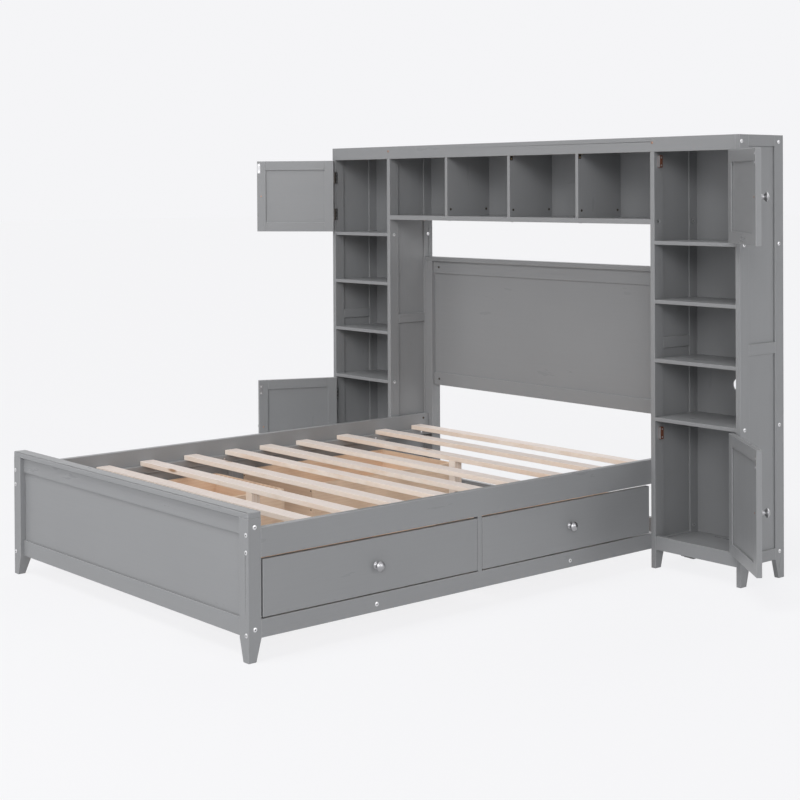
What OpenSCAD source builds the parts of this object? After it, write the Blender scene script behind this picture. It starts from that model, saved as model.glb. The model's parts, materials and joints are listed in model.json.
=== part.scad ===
/* [Bed frame] */
// Length from the footboard's front to the back of the towers
bed_l = 1972; // [1940:1:2060]
// Width over the side rails
bed_w = 1430; // [1380:1:1500]
// Height of the towers
overall_h = 1524; // [1510:1:1580]
// Side of a square corner post
post = 45; // [42:1:50]
// Width of a post's foot at the floor
post_toe = 27; // [24:1:32]
// Gap between the floor and the lowest boards
floor_gap = 67; // [62:1:70]
// Thickness of the side rails
rail_t = 21; // [20:0.5:23]
// Height of the side rails' lower edge
rail_z = 297; // [293:1:303]
// Width of the side rails' boards
rail_h = 86; // [82:1:90]
// Width of the lowest boards, under the drawers and at the foot of both end boards
low_h = 54; // [50:1:55]

/* [Head and foot boards] */
// Height of the footboard
foot_h = 430; // [425:1:450]
// Height of the headboard
head_h = 1054; // [1030:1:1070]
// Thickness of the caps
cap_t = 18; // [16:1:22]
// Thickness of the boards between the posts
board_t = 19; // [18:0.5:20]
// How far those boards stand back from the posts' faces
board_set = 13; // [10:0.5:13]
// Width of the boards under the caps
top_board_h = 52; // [48:1:56]
// Height of the headboard's middle board at its lower edge
mid_board_z = 507; // [490:1:530]
// Thickness of every thin panel
panel_t = 6; // [5:0.5:7]
// Depth of the grooves that hold the panels
groove = 8; // [6:0.5:9]

/* [Slats] */
// Width of a slat
slat_w = 56; // [50:1:62]
// Thickness of a slat
slat_t = 17; // [15:1:20]
// Width of the ledger that carries the slats
ledger_w = 20; // [18:1:24]
// Height of the ledger
ledger_h = 26; // [22:1:30]
// Side of a square centre leg
leg_w = 34; // [30:1:40]

/* [Drawers] */
// Thickness of a drawer's front
front_t = 18; // [16:1:20]
// Width of the stile between two drawers
drawer_stile_w = 18; // [16:1:24]
// Depth of a drawer's box behind its front
box_d = 441; // [420:1:460]
// Height of a box's top edge
box_top = 255; // [240:1:265]
// Thickness of a box's boards
box_t = 12; // [10:1:14]
// Thickness of a box's bottom
box_floor_t = 5; // [4:0.5:6]

/* [Towers] */
// Width of a tower
tower_w = 391; // [380:1:420]
// Depth of a tower
tower_d = 240; // [230:1:260]
// Thickness of a tower's sides
side_t = 19; // [18:0.5:20]
// Width of a side's stiles
stile_w = 48; // [44:1:52]
// Width of a stile's foot at the floor
stile_toe = 30; // [26:1:36]
// Width of a side's rails
side_rail_h = 39; // [36:1:42]
// Height of a side's middle rail at its lower edge
side_mid_z = 776; // [765:1:795]
// Thickness of a shelf
shelf_t = 13; // [12:0.5:14]
// Height of the shelf over the lower door
low_shelf_top = 535; // [525:1:545]
// Height of the upper cupboard's opening
upper_bay_h = 314; // [300:1:330]
// Height of the lowest shelf, behind the apron
base_top = 100; // [96:1:104]
// Height of the board across the top
fascia_h = 52; // [50:1:56]
// Thickness of the back panels
back_t = 5; // [4:0.5:6]
// Radius of the cable hole in the right tower's back
cable_r = 23; // [18:1:28]

/* [Bridge shelf] */
// Height of the bridge shelf's compartments
bridge_bay_h = 238; // [225:1:250]
// Thickness of the bridge shelf
bridge_t = 18; // [16:1:20]
// Thickness of the dividers
divider_t = 14; // [13:0.5:16]

/* [Doors] */
// Thickness of a door
door_t = 18; // [17:0.5:19]
// Width of the boards round a door
door_board = 40; // [36:1:46]
// How far the two right doors and the upper left door stand open, in degrees
wide_open = 142; // [120:1:150]
// How far the lower left door stands open, in degrees
part_open = 113; // [100:1:150]
// Height of a hinge
hinge_h = 50; // [44:1:56]

/* [Hardware] */
// Diameter of a knob
knob_d = 32; // [28:1:36]
// Length of a knob
knob_l = 30; // [27:1:34]
// Radius of a bolt's shank
bolt_r = 3; // [3:0.5:4]
// Radius of a bolt's head
head_r = 7; // [6:0.5:8]
// Radius of a barrel nut
nut_r = 5; // [5:0.5:5.5]

/* [Hidden] */
$fn = 48;

paint = [0.56, 0.57, 0.58];
inner_paint = [0.60, 0.61, 0.62];
pine = [0.88, 0.80, 0.70];
drawer_wood = [0.78, 0.64, 0.50];
steel = [0.86, 0.86, 0.87];
dark_metal = [0.24, 0.21, 0.19];
copper = [0.52, 0.33, 0.24];
black = [0.08, 0.08, 0.08];

// Planes and edges of the bed
side_x = bed_w / 2;
post_x = side_x - post;
rail_x = side_x - rail_t;
y_foot = -bed_l / 2;
y_head = bed_l / 2;
rails_y0 = y_foot + post;
rails_y1 = y_head - post;
low_top = floor_gap + low_h;
ledger_top = rail_z + ledger_h;
slat_top = ledger_top + slat_t;
foot_board_y = y_foot + board_set;
head_board_y = y_head - board_set - board_t;
foot_post_h = foot_h - cap_t;
head_post_h = head_h - cap_t;
end_gap = 0.5;
fit = 0.1;
cut = 1;
cap_ease = 4;

slat_end_gap = 1;
leg_x = 7;

// Drawers
front_gap_low = 4;
front_gap_top = 6;
front_gap_post = 6;
front_gap_stile = 1.5;
front_gap_tower = 10;
front_z0 = low_top + front_gap_low;
front_z1 = rail_z - front_gap_top;
stile_shift = 12.5;
drawer_stile_y = (rails_y0 + y_head - tower_d - drawer_stile_w) / 2 + stile_shift;
box_inset = 52;
box_lift = 1;
box_z0 = front_z0 + box_lift;
box_floor_up = 8;
box_groove = 5;
knob_z = (front_z0 + front_z1) / 2;
drawer_spans = [
    [rails_y0 + front_gap_post, drawer_stile_y - front_gap_stile],
    [drawer_stile_y + drawer_stile_w + front_gap_stile, y_head - tower_d - front_gap_tower]
];
bearer_w = 30;
bearer_gap = 6;
bearer_top = box_z0 - bearer_gap;
guide_l = 80;
guide_slack = 1;
guide_lift = 0.2;
guide_cheek = 9;
guide_drop = 12;

// Slats: each leg stands behind its bearer and under a slat, and the other slats lie near an even row
leg_slats = [1, 6];
leg_behind = [26.5, 106.5];
slat_nudge = [1, 0, 6, 7, -15, -22, 0, 20, 33];
slat_pitch = (leg_y(1) - leg_y(0)) / (leg_slats[1] - leg_slats[0]);

// Towers
tower_x0 = side_x;
tower_x1 = side_x + tower_w;
bay_x0 = tower_x0 + side_t;
bay_x1 = tower_x1 - side_t;
front_y = y_head - tower_d;
back_y = y_head - back_t;
fascia_z = overall_h - fascia_h;
fascia_t = 19;
high_shelf_top = fascia_z - upper_bay_h;
bridge_top = fascia_z - bridge_bay_h;
shelf_step = (high_shelf_top - low_shelf_top) / 3;
apron_lip = 15;
apron_top = base_top + apron_lip;
lid_drop = 30;
lid_z = overall_h - lid_drop;
cable_shift_x = 6;
cable_shift_z = 8;
cable_x = (bay_x0 + bay_x1) / 2 + cable_shift_x;
cable_z = low_shelf_top + shelf_step / 2 + cable_shift_z;
block_size = [60, 20];
block_inset = 98;
block_drop = 8;
block_gap = 1;
dowel_r = 4;
dowel_gap = 0.05;
dowel_l = 12;
pin_inset = 26;

// Doors: each hangs on a pin just outside its front, in the gap at the outer side
door_gap = 2;
hinge_gap = 3;
leaf_t = 1.2;
knuckle_r = 3;
pin_r = 1.5;
pin_gap = 0.05;
knuckle_gap = 0.2;
pin_out = knuckle_r + end_gap;
pin_x = bay_x1 - hinge_gap / 2;
pin_y = front_y - pin_out;
door_w = bay_x1 - bay_x0 - hinge_gap - door_gap;
door_s0 = hinge_gap / 2;
upper_z = [high_shelf_top + door_gap, fascia_z - door_gap];
lower_z = [apron_top + door_gap, low_shelf_top - shelf_t - door_gap];
hinge_from_end = 75;
leaf_w = 12;
catch_size = [10, 15, 43];
catch_drop = [32, 42];
strike_t = 1.2;
strike_gap = 0.8;
strike_inset = 2;
strike_w = 14;
knob_in = 19;
knob_screw_r = 2;
knob_screw_head_r = 4;
knob_screw_head_t = 1.5;
knob_screw_in = 12;
knob_base_r = 12;
knob_base_h = 8;
knob_neck_r = 6.5;
knob_neck_top = 12;
knob_dome_h = 9;
knob_dome_r = (pow(knob_d / 2, 2) + pow(knob_dome_h, 2)) / (2 * knob_dome_h);
knob_rim = knob_l - knob_dome_h;

// Bridge shelf
divider_x = (bed_w - 3 * divider_t) / 4 + divider_t;
bracket_t = 1.5;
bracket_w = 14;
bracket_leg = 18;

// Bolts and barrel nuts
bolt_slack = 0.05;
head_t = 2;
head_chamfer = 1;
head_sunk = 1;
bolt_in = 36;
nut_in = 30;
nut_l = 15;
shelf_nut_l = 11;
divider_nut_up = 28;
divider_nut_short = 2;
front_bolt = 22;
back_bolt = 26;
frame_bolt_x = rail_x + rail_t / 2;
low_bolt_up = 12;
rail_bolt_in = 18;
frame_bolt_zs = [floor_gap + low_bolt_up, rail_z + rail_bolt_in, rail_z + rail_h - rail_bolt_in];
cross_bolt_up = 23;
cross_bolt_z = floor_gap + cross_bolt_up;
post_bolt_back = 28;
post_bolt_up = 5;
fascia_bolt_up = 32;
fascia_bolt_in = 24;
divider_bolt_front = 20;
divider_bolt_back = 22;
low_board_mid = floor_gap + low_h / 2;

function leg_y(i) = drawer_mid(i) + leg_behind[i];
function slat_y(i) = leg_y(0) + (i - leg_slats[0]) * slat_pitch + slat_nudge[i];
function shelf_top(i) = low_shelf_top + i * shelf_step;
function drawer_mid(i) = (drawer_spans[i][0] + drawer_spans[i][1]) / 2;
function hinge_zs(z) = [z[0] + hinge_from_end, z[1] - hinge_from_end];

// Each bolt is its place on the face, its direction, the length of its shank and how deep its head is sunk
foot_bolts = concat(
    [for (z = [low_board_mid, foot_post_h - top_board_h / 2])
        [[side_x, foot_board_y + board_t / 2, z], [-1, 0, 0], post + bolt_in, 0]],
    [for (z = frame_bolt_zs) [[frame_bolt_x, y_foot, z], [0, 1, 0], post + bolt_in, 0]]);
head_bolts = concat(
    [for (z = [low_board_mid, mid_board_z + top_board_h / 2, head_post_h - top_board_h / 2])
        [[side_x, head_board_y + board_t / 2, z], [-1, 0, 0], post + bolt_in, head_t + head_sunk]],
    [for (z = frame_bolt_zs) [[frame_bolt_x, y_head, z], [0, -1, 0], post + bolt_in, 0]]);
tower_post_bolts = [
    [[bay_x0, y_head - post_bolt_back, low_top + post_bolt_up], [-1, 0, 0], side_t + post_bolt_back, 0]
];
bearer_bolts = [for (i = [0, 1])
    [[side_x, drawer_mid(i), cross_bolt_z], [-1, 0, 0], rail_t + bolt_in, 0]];
outer_bolts = concat(
    [for (i = [0, 3], y = [front_y + front_bolt, y_head - back_bolt])
        [[tower_x1, y, shelf_top(i) - shelf_t / 2], [-1, 0, 0], side_t + bolt_in, 0]],
    [for (z = [base_top - shelf_t / 2, lid_z + shelf_t / 2])
        [[tower_x1, y_head - back_bolt, z], [-1, 0, 0], side_t + bolt_in, 0]],
    [for (z = [(floor_gap + apron_top) / 2, lid_z + shelf_t / 2])
        [[tower_x1, front_y + fascia_t / 2, z], [-1, 0, 0], side_t + bolt_in, 0]]);
inner_bolts = [for (i = [0, 3], y = [front_y + front_bolt, y_head - back_bolt])
    if (i == 3 || y < y_head - post)
        [[tower_x0, y, shelf_top(i) - shelf_t / 2], [1, 0, 0], side_t + bolt_in, 0]];
bridge_bolts = [for (y = [front_y + front_bolt, y_head - back_bolt])
    [[bay_x0, y, bridge_top - bridge_t / 2], [-1, 0, 0], side_t + bolt_in, head_t]];
fascia_bolts = [
    [[(tower_x0 + bay_x0) / 2, front_y, fascia_z + fascia_bolt_up], [0, 1, 0], fascia_t + fascia_bolt_in, 0]
];
divider_bolts = [for (k = [-1, 0, 1], y = [front_y + divider_bolt_front, y_head - divider_bolt_back])
    [[k * divider_x, y, bridge_top - bridge_t], [0, 0, 1], bridge_t + bolt_in, 0]];

// Each barrel nut is its place on the face, its direction, its length and the depth of its cross bore
foot_nuts = [for (b = foot_bolts)
    b[1].x != 0
        ? [[post_x - nut_in, foot_board_y + board_t, b[0].z], [0, -1, 0], nut_l, board_t / 2]
        : [[rail_x, rails_y0 + nut_in, b[0].z], [1, 0, 0], nut_l, rail_t / 2]];
head_nuts = [for (b = head_bolts)
    b[1].x != 0
        ? [[post_x - nut_in, head_board_y, b[0].z], [0, 1, 0], nut_l, board_t / 2]
        : [[rail_x, rails_y1 - nut_in, b[0].z], [1, 0, 0], nut_l, rail_t / 2]];
bearer_nuts = [for (b = bearer_bolts)
    [[rail_x - nut_in, b[0].y - bearer_w / 2, b[0].z], [0, 1, 0], bearer_w / 2 + nut_l / 2, bearer_w / 2]];
shelf_nuts = concat(
    [for (b = outer_bolts)
        if (b[0].y > front_y + fascia_t)
            [[bay_x1 - nut_in, b[0].y, b[0].z - shelf_t / 2], [0, 0, 1], shelf_nut_l, shelf_t / 2]],
    [for (b = inner_bolts)
        [[bay_x0 + nut_in, b[0].y, b[0].z - shelf_t / 2], [0, 0, 1], shelf_nut_l, shelf_t / 2]]);
front_nuts = [for (b = outer_bolts)
    if (b[0].y < front_y + fascia_t)
        [[bay_x1 - nut_in, front_y + fascia_t, b[0].z], [0, -1, 0], nut_l, fascia_t / 2]];
bridge_nuts = [for (b = bridge_bolts)
    [[tower_x0 - nut_in, b[0].y, bridge_top - bridge_t], [0, 0, 1], nut_l, bridge_t / 2]];
divider_nuts = [for (b = divider_bolts)
    [[b[0].x + divider_t / 2, b[0].y, bridge_top + divider_nut_up],
        [-1, 0, 0], divider_t - divider_nut_short, divider_t / 2]];

// A board between two opposite corners
module board(a, b) {
    translate(a) cube(b - a);
}

// Draws its children on the right and mirrored on the left
module both_sides() {
    children();
    mirror([1, 0, 0]) children();
}

// Turns the children's Z axis to an axis direction d at point p
module along(p, d) {
    translate(p) rotate([d.z < 0 ? 180 : -90 * d.y, 90 * d.x, 0]) children();
}

module drill(bolts) {
    for (b = bolts) {
        along(b[0], b[1]) {
            translate([0, 0, -cut]) cylinder(r = bolt_r + bolt_slack, h = b[2] + 2 * cut);
            if (b[3] > 0) {
                translate([0, 0, -cut]) cylinder(r = head_r + end_gap, h = b[3] + cut);
            }
        }
    }
}

module nut_bores(nuts) {
    for (n = nuts) {
        along(n[0], n[1]) translate([0, 0, -cut]) cylinder(r = nut_r + bolt_slack, h = n[2] + cut);
    }
}

// A bolt with a low, broad head whose rim is chamfered
module bolt(b) {
    along(b[0], b[1]) translate([0, 0, b[3]]) {
        translate([0, 0, -head_t]) cylinder(r1 = head_r - head_chamfer, r2 = head_r, h = head_t / 2);
        translate([0, 0, -head_t / 2]) cylinder(r = head_r, h = head_t / 2);
        cylinder(r = bolt_r, h = b[2] - b[3]);
    }
}

// A barrel nut, cross-bored for its bolt
module barrel_nut(n, d) {
    difference() {
        along(n[0], n[1]) cylinder(r = nut_r, h = n[2]);
        along(n[0] + n[1] * n[3] - d * 2 * nut_r, d)
            cylinder(r = bolt_r + bolt_slack, h = 4 * nut_r);
    }
}

// One stile of a frame, w wide, t thick and h high, with its foot drawn in to toe and its inner edge grooved
module stile(w, t, h, toe, toe_z) {
    difference() {
        translate([0, t, 0]) rotate([90, 0, 0]) linear_extrude(t)
            polygon([[0, 0], [toe, 0], [w, toe_z], [w, h], [0, h]]);
        translate([w - groove, (t - panel_t) / 2 - fit, toe_z - fit])
            cube([groove + cut, panel_t + 2 * fit, h]);
    }
}

// One rail of a frame: a board whose ends have tongues in the stiles' grooves and whose edges are grooved
module frame_rail(w, t, sw, z, below, above) {
    groove_y = (t - panel_t) / 2 - fit;
    groove_t = panel_t + 2 * fit;
    difference() {
        union() {
            translate([sw + fit, 0, z[0]]) cube([w - 2 * (sw + fit), t, z[1] - z[0]]);
            translate([sw - groove + end_gap, (t - panel_t) / 2, z[0]])
                cube([w - 2 * (sw - groove + end_gap), panel_t, z[1] - z[0]]);
        }
        if (below) {
            translate([0, groove_y, z[0] - cut]) cube([w, groove_t, groove + cut]);
        }
        if (above) {
            translate([0, groove_y, z[1] - groove]) cube([w, groove_t, groove + cut]);
        }
    }
}

// The panel between two rails, standing in the lower rail's groove
module frame_panel(w, t, sw, z0, z1) {
    translate([sw - groove + end_gap, (t - panel_t) / 2, z0 - groove])
        cube([w - 2 * (sw - groove + end_gap), panel_t, z1 - z0 + 2 * groove - end_gap]);
}

// A square post whose foot tapers on the two faces turned to the bed's middle
module corner_post(h) {
    intersection() {
        translate([0, post, 0]) rotate([90, 0, 0]) linear_extrude(post)
            polygon([[0, floor_gap], [post - post_toe, 0], [post, 0], [post, h], [0, h]]);
        rotate([90, 0, 90]) linear_extrude(post)
            polygon([[0, 0], [post_toe, 0], [post, floor_gap], [post, h], [0, h]]);
    }
}

// A cap whose two long upper edges are eased
module cap(y, h) {
    translate([-side_x, y, h - cap_t]) rotate([90, 0, 90]) linear_extrude(bed_w)
        polygon([
            [0, 0], [post, 0], [post, cap_t - cap_ease / 2], [post - cap_ease / 2, cap_t],
            [cap_ease / 2, cap_t], [0, cap_t - cap_ease / 2]
        ]);
}

// A board between two posts, grooved for a panel on one edge or both
module panel_board(y, z0, z1, below, above) {
    groove_y = y + (board_t - panel_t) / 2;
    difference() {
        board([-post_x, y, z0], [post_x, y + board_t, z1]);
        if (below) {
            board([-bed_w, groove_y, z0 - cut], [bed_w, groove_y + panel_t, z0 + groove]);
        }
        if (above) {
            board([-bed_w, groove_y, z1 - groove], [bed_w, groove_y + panel_t, z1 + cut]);
        }
    }
}

// The panel between two boards, tongued into the posts
module end_panel(y, z0, z1) {
    groove_y = y + (board_t - panel_t) / 2;
    board([-post_x - groove + end_gap, groove_y, z0 - groove],
        [post_x + groove - end_gap, groove_y + panel_t, z1 + groove - end_gap]);
}

// The groove in a post for the end panel's edge
module post_groove(y, z0, z1) {
    groove_y = y + (board_t - panel_t) / 2;
    board([post_x - cut, groove_y, z0 - groove], [post_x + groove, groove_y + panel_t, z1 + groove]);
}

module foot_posts() {
    color(paint) both_sides() difference() {
        translate([post_x, y_foot, 0]) corner_post(foot_post_h);
        post_groove(foot_board_y, low_top, foot_post_h - top_board_h);
        drill(foot_bolts);
    }
}

module footboard_cap() {
    color(paint) cap(y_foot, foot_h);
}

module footboard_rails() {
    color(paint) difference() {
        union() {
            panel_board(foot_board_y, floor_gap, low_top, false, true);
            panel_board(foot_board_y, foot_post_h - top_board_h, foot_post_h, true, false);
        }
        both_sides() {
            drill(foot_bolts);
            nut_bores(foot_nuts);
        }
    }
}

module footboard_panel() {
    color(paint) end_panel(foot_board_y, low_top, foot_post_h - top_board_h);
}

module head_posts() {
    color(paint) both_sides() difference() {
        translate([post_x, y_head, 0]) mirror([0, 1, 0]) corner_post(head_post_h);
        post_groove(head_board_y, mid_board_z + top_board_h, head_post_h - top_board_h);
        drill(head_bolts);
        drill(tower_post_bolts);
    }
}

module headboard_cap() {
    color(paint) cap(y_head - post, head_h);
}

module headboard_rails() {
    color(paint) difference() {
        union() {
            panel_board(head_board_y, floor_gap, low_top, false, false);
            panel_board(head_board_y, mid_board_z, mid_board_z + top_board_h, false, true);
            panel_board(head_board_y, head_post_h - top_board_h, head_post_h, true, false);
        }
        both_sides() {
            drill(head_bolts);
            nut_bores(head_nuts);
        }
    }
}

module headboard_panel() {
    color(paint) end_panel(head_board_y, mid_board_z + top_board_h, head_post_h - top_board_h);
}

module side_rails() {
    color(paint) both_sides() difference() {
        board([rail_x, rails_y0, rail_z], [side_x, rails_y1, rail_z + rail_h]);
        drill(foot_bolts);
        drill(head_bolts);
        nut_bores(foot_nuts);
        nut_bores(head_nuts);
    }
}

module low_side_rails() {
    color(paint) both_sides() difference() {
        board([rail_x, rails_y0, floor_gap], [side_x, rails_y1, low_top]);
        drill(foot_bolts);
        drill(head_bolts);
        drill(bearer_bolts);
        nut_bores(foot_nuts);
        nut_bores(head_nuts);
    }
}

module drawer_stiles() {
    color(paint) both_sides() board([rail_x, drawer_stile_y, low_top],
        [side_x, drawer_stile_y + drawer_stile_w, rail_z]);
}

module slat_ledgers() {
    color(paint) both_sides() board([rail_x - ledger_w, rails_y0, rail_z], [rail_x, rails_y1, ledger_top]);
}

module cross_bearers() {
    color(pine) for (i = [0, 1]) {
        y = drawer_mid(i);
        difference() {
            board([-rail_x, y - bearer_w / 2, floor_gap], [rail_x, y + bearer_w / 2, bearer_top]);
            both_sides() {
                drill(bearer_bolts);
                nut_bores(bearer_nuts);
            }
        }
    }
}

module slats() {
    color(pine) for (i = [0 : len(slat_nudge) - 1]) {
        board([-rail_x + slat_end_gap, slat_y(i), ledger_top],
            [rail_x - slat_end_gap, slat_y(i) + slat_w, slat_top]);
    }
}

module centre_legs() {
    color(pine) for (i = [0, 1]) {
        board([leg_x - leg_w / 2, leg_y(i), 0], [leg_x + leg_w / 2, leg_y(i) + leg_w, ledger_top]);
    }
}

// Heights of the three rails in a tower's side
function side_rail_zs() = [
    [floor_gap, floor_gap + side_rail_h],
    [side_mid_z, side_mid_z + side_rail_h],
    [overall_h - side_rail_h, overall_h]
];

// A tower side's stiles and rails, standing with its outer face at x
module side_frame(x) {
    zs = side_rail_zs();
    translate([x, front_y, 0]) rotate([0, 0, 90]) mirror([0, 1, 0]) {
        stile(stile_w, side_t, overall_h, stile_toe, floor_gap);
        translate([tower_d, 0, 0]) mirror([1, 0, 0])
            stile(stile_w, side_t, overall_h, stile_toe, floor_gap);
        for (k = [0 : 2]) {
            frame_rail(tower_d, side_t, stile_w, zs[k], k > 0, k < 2);
        }
    }
}

// The holes for the dowels of the two loose shelves, from the sides' inner faces
module dowel_bores(x) {
    for (i = [1, 2], y = [front_y + pin_inset, y_head - pin_inset]) {
        translate([x - dowel_l, y, shelf_top(i) - shelf_t / 2]) rotate([0, 90, 0])
            cylinder(r = dowel_r + dowel_gap, h = 2 * dowel_l);
    }
}

module tower_outer_sides() {
    color(paint) both_sides() difference() {
        side_frame(bay_x1);
        drill(outer_bolts);
        dowel_bores(bay_x1);
    }
}

module tower_inner_sides() {
    color(paint) both_sides() difference() {
        side_frame(tower_x0);
        board([0, front_y - cut, fascia_z], [bed_w, front_y + fascia_t, overall_h + cut]);
        drill(inner_bolts);
        drill(bridge_bolts);
        drill(tower_post_bolts);
        drill(fascia_bolts);
        dowel_bores(bay_x0);
    }
}

module tower_side_panels() {
    zs = side_rail_zs();
    color(paint) both_sides() for (x = [tower_x0, bay_x1], k = [0, 1]) {
        translate([x, front_y, 0]) rotate([0, 0, 90]) mirror([0, 1, 0])
            frame_panel(tower_d, side_t, stile_w, zs[k][1], zs[k + 1][0]);
    }
}

module tower_shelves() {
    color(inner_paint) both_sides() {
        difference() {
            union() {
                for (i = [0 : 3]) {
                    board([bay_x0, front_y, shelf_top(i) - shelf_t], [bay_x1, back_y, shelf_top(i)]);
                }
                board([bay_x0, front_y + fascia_t, base_top - shelf_t], [bay_x1, back_y, base_top]);
            }
            drill(outer_bolts);
            drill(inner_bolts);
            nut_bores(shelf_nuts);
            dowel_bores(bay_x0);
            dowel_bores(bay_x1);
        }
        for (x = [bay_x0, bay_x1], i = [1, 2], y = [front_y + pin_inset, y_head - pin_inset]) {
            translate([x - dowel_l + end_gap, y, shelf_top(i) - shelf_t / 2]) rotate([0, 90, 0])
                cylinder(r = dowel_r, h = 2 * dowel_l - 2 * end_gap);
        }
    }
}

module tower_aprons() {
    color(paint) both_sides() difference() {
        board([bay_x0, front_y, floor_gap], [bay_x1, front_y + fascia_t, apron_top]);
        drill(outer_bolts);
        nut_bores(front_nuts);
    }
}

// Back panels of the left tower and of the bridge shelf
module tower_backs() {
    color(inner_paint) {
        board([-bay_x1, back_y, base_top - shelf_t], [-bay_x0, y_head, lid_z + shelf_t]);
        board([-side_x, back_y, bridge_top - bridge_t], [side_x, y_head, lid_z + shelf_t]);
    }
}

module right_tower_back() {
    color(inner_paint) difference() {
        board([bay_x0, back_y, base_top - shelf_t], [bay_x1, y_head, lid_z + shelf_t]);
        translate([cable_x, back_y - cut, cable_z]) rotate([-90, 0, 0])
            cylinder(r = cable_r, h = back_t + 2 * cut);
    }
}

module top_boards() {
    color(inner_paint) {
        both_sides() difference() {
            board([bay_x0, front_y + fascia_t, lid_z], [bay_x1, back_y, lid_z + shelf_t]);
            drill(outer_bolts);
            nut_bores(shelf_nuts);
        }
        board([-side_x, front_y + fascia_t, lid_z], [side_x, back_y, lid_z + shelf_t]);
    }
}

module fascia() {
    color(paint) difference() {
        board([-bay_x1, front_y, fascia_z], [bay_x1, front_y + fascia_t, overall_h]);
        both_sides() {
            drill(outer_bolts);
            drill(fascia_bolts);
            nut_bores(front_nuts);
        }
    }
}

module bridge_board() {
    color(inner_paint) difference() {
        board([-side_x, front_y, bridge_top - bridge_t], [side_x, back_y, bridge_top]);
        drill(divider_bolts);
        both_sides() {
            drill(bridge_bolts);
            nut_bores(bridge_nuts);
        }
    }
}

// A divider stands on the bridge shelf, cut back at its top behind the fascia
module bridge_dividers() {
    color(inner_paint) for (k = [-1, 0, 1]) {
        x = k * divider_x;
        difference() {
            board([x - divider_t / 2, front_y, bridge_top], [x + divider_t / 2, back_y, lid_z]);
            board([x - divider_t, front_y - cut, fascia_z],
                [x + divider_t, front_y + fascia_t, lid_z + cut]);
            drill(divider_bolts);
            nut_bores(divider_nuts);
        }
    }
}

module bolts() {
    color(steel) {
        both_sides() {
            for (b = concat(foot_bolts, head_bolts, tower_post_bolts, bearer_bolts)) {
                bolt(b);
            }
            for (b = concat(outer_bolts, inner_bolts, bridge_bolts, fascia_bolts)) {
                bolt(b);
            }
        }
        for (b = divider_bolts) {
            bolt(b);
        }
    }
}

module barrel_nuts() {
    color(steel) {
        both_sides() {
            for (i = [0 : len(foot_nuts) - 1]) {
                barrel_nut(foot_nuts[i], foot_bolts[i][1]);
            }
            for (i = [0 : len(head_nuts) - 1]) {
                barrel_nut(head_nuts[i], head_bolts[i][1]);
            }
            for (n = concat(bearer_nuts, shelf_nuts, front_nuts, bridge_nuts)) {
                barrel_nut(n, [1, 0, 0]);
            }
        }
        for (n = divider_nuts) {
            barrel_nut(n, [0, 0, 1]);
        }
    }
}

// Angle brackets under the fascia, on the right faces of the middle and right dividers
module divider_brackets() {
    color(dark_metal) for (k = [0, 1]) {
        x = k * divider_x + divider_t / 2;
        y = front_y + (fascia_t - bracket_w) / 2;
        board([x, y, fascia_z - bracket_leg], [x + bracket_t, y + bracket_w, fascia_z]);
        board([x + bracket_t, y, fascia_z - bracket_t], [x + bracket_leg, y + bracket_w, fascia_z]);
    }
}

// One catch at the free edge of each door, on the towers' inner sides
module door_catches() {
    y = front_y + door_t + strike_t + strike_gap;
    color(copper) both_sides() for (z = [upper_z[1] - catch_drop[0], lower_z[1] - catch_drop[1]]) {
        board([bay_x0, y, z - catch_size.z / 2],
            [bay_x0 + catch_size.x, y + catch_size.y, z + catch_size.z / 2]);
    }
}

// A hinge's fixed half: a leaf on the tower's side, its two end knuckles and the pin
module fixed_leaf(z) {
    knuckle_h = hinge_h / 4;
    translate([pin_x, pin_y, z - hinge_h / 2]) {
        for (dz = [0, hinge_h - knuckle_h]) {
            translate([0, 0, dz]) difference() {
                union() {
                    cylinder(r = knuckle_r, h = knuckle_h);
                    translate([hinge_gap / 2 - leaf_t, 0, 0]) cube([leaf_t, pin_out, knuckle_h]);
                }
                translate([0, 0, -cut]) cylinder(r = pin_r + pin_gap, h = knuckle_h + 2 * cut);
            }
        }
        translate([hinge_gap / 2 - leaf_t, pin_out, 0]) cube([leaf_t, leaf_w, hinge_h]);
        cylinder(r = pin_r, h = hinge_h);
    }
}

module hinge_leaves() {
    color(dark_metal) both_sides() for (z = concat(hinge_zs(upper_z), hinge_zs(lower_z))) {
        fixed_leaf(z);
    }
}

// A small block under the right tower's lowest shelf, behind the apron
module apron_block() {
    x = bay_x0 + block_inset;
    y = front_y + fascia_t + block_gap;
    color(black) board([x, y, floor_gap - block_drop],
        [x + block_size.x, y + block_size.y, base_top - shelf_t]);
}

// Places a closed right door's children, swung open by a; a left door is its mirror image
module hang(a, left) {
    mirror([left ? 1 : 0, 0, 0]) translate([pin_x, pin_y, 0]) rotate([0, 0, a])
        translate([-pin_x, -pin_y, 0]) children();
}

// Puts a frame drawn from x = 0 into the closed doorway
module in_doorway(z0) {
    translate([pin_x - door_s0 - door_w, front_y, z0]) children();
}

module door_frame(a, left, z) {
    h = z[1] - z[0];
    color(paint) hang(a, left) in_doorway(z[0]) difference() {
        union() {
            stile(door_board, door_t, h, door_board, 0);
            translate([door_w, 0, 0]) mirror([1, 0, 0]) stile(door_board, door_t, h, door_board, 0);
            frame_rail(door_w, door_t, door_board, [0, door_board], false, true);
            frame_rail(door_w, door_t, door_board, [h - door_board, h], true, false);
        }
        translate([knob_in, -cut, h / 2]) rotate([-90, 0, 0])
            cylinder(r = knob_screw_r + bolt_slack, h = door_t + 2 * cut);
    }
}

module door_panel(a, left, z) {
    h = z[1] - z[0];
    color(paint) hang(a, left) in_doorway(z[0])
        frame_panel(door_w, door_t, door_board, door_board, h - door_board);
}

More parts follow.
